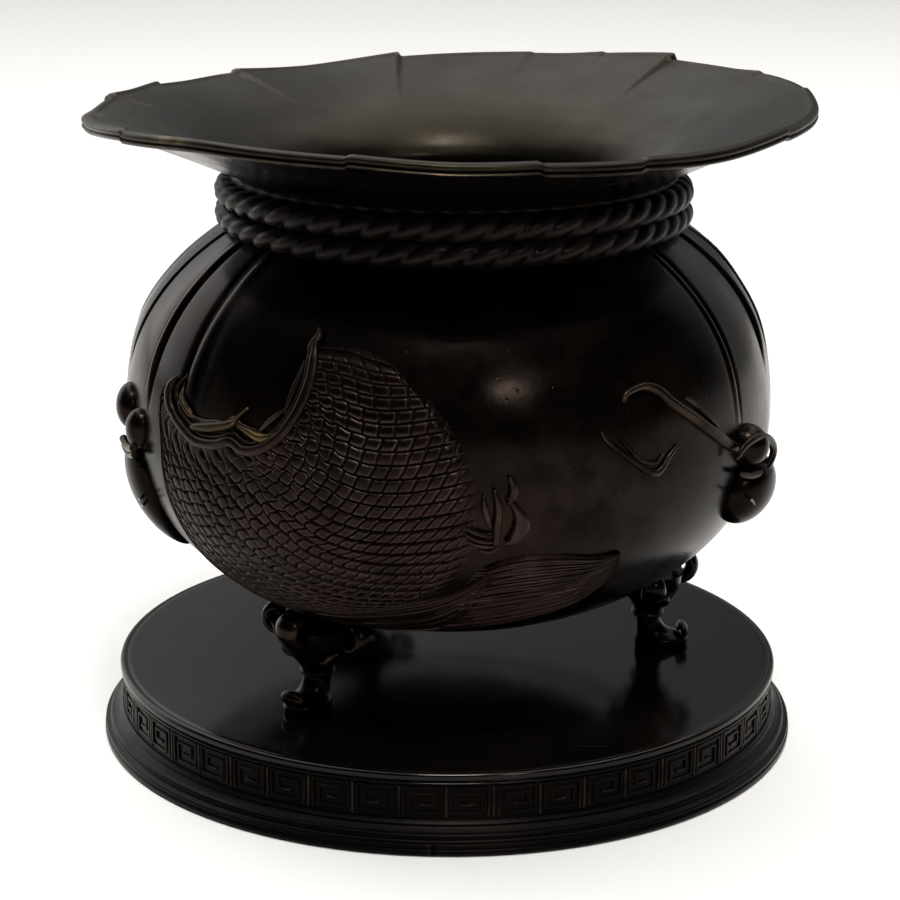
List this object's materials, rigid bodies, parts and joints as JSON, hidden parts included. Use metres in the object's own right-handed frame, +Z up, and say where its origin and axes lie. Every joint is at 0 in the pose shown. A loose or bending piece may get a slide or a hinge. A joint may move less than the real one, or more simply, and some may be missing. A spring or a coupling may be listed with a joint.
{
  "type": "bronze incense burner",
  "caption": "Sack-shaped bronze incense burner with a roped neck, a spread ruffled mouth and low relief, on scrolled feet and a round key-fret stand.",
  "frame": {"origin": "on the surface it stands on, under the centre of the round stand", "axes": "+Z up, the front with the straw cape relief towards -Y, +X to the viewer's right"},
  "size_m": [0.2336, 0.2336, 0.2132],
  "materials": {
    "burner_bronze": "near-black brown patina over cast bronze, glossy, worn brown on high edges",
    "stand_bronze": "polished near-black patina, mirror-like on the flat top"
  },
  "bodies": {
    "root": {"sack_burner": "burner_bronze", "round_stand": "stand_bronze"}
  },
  "joints": []
}
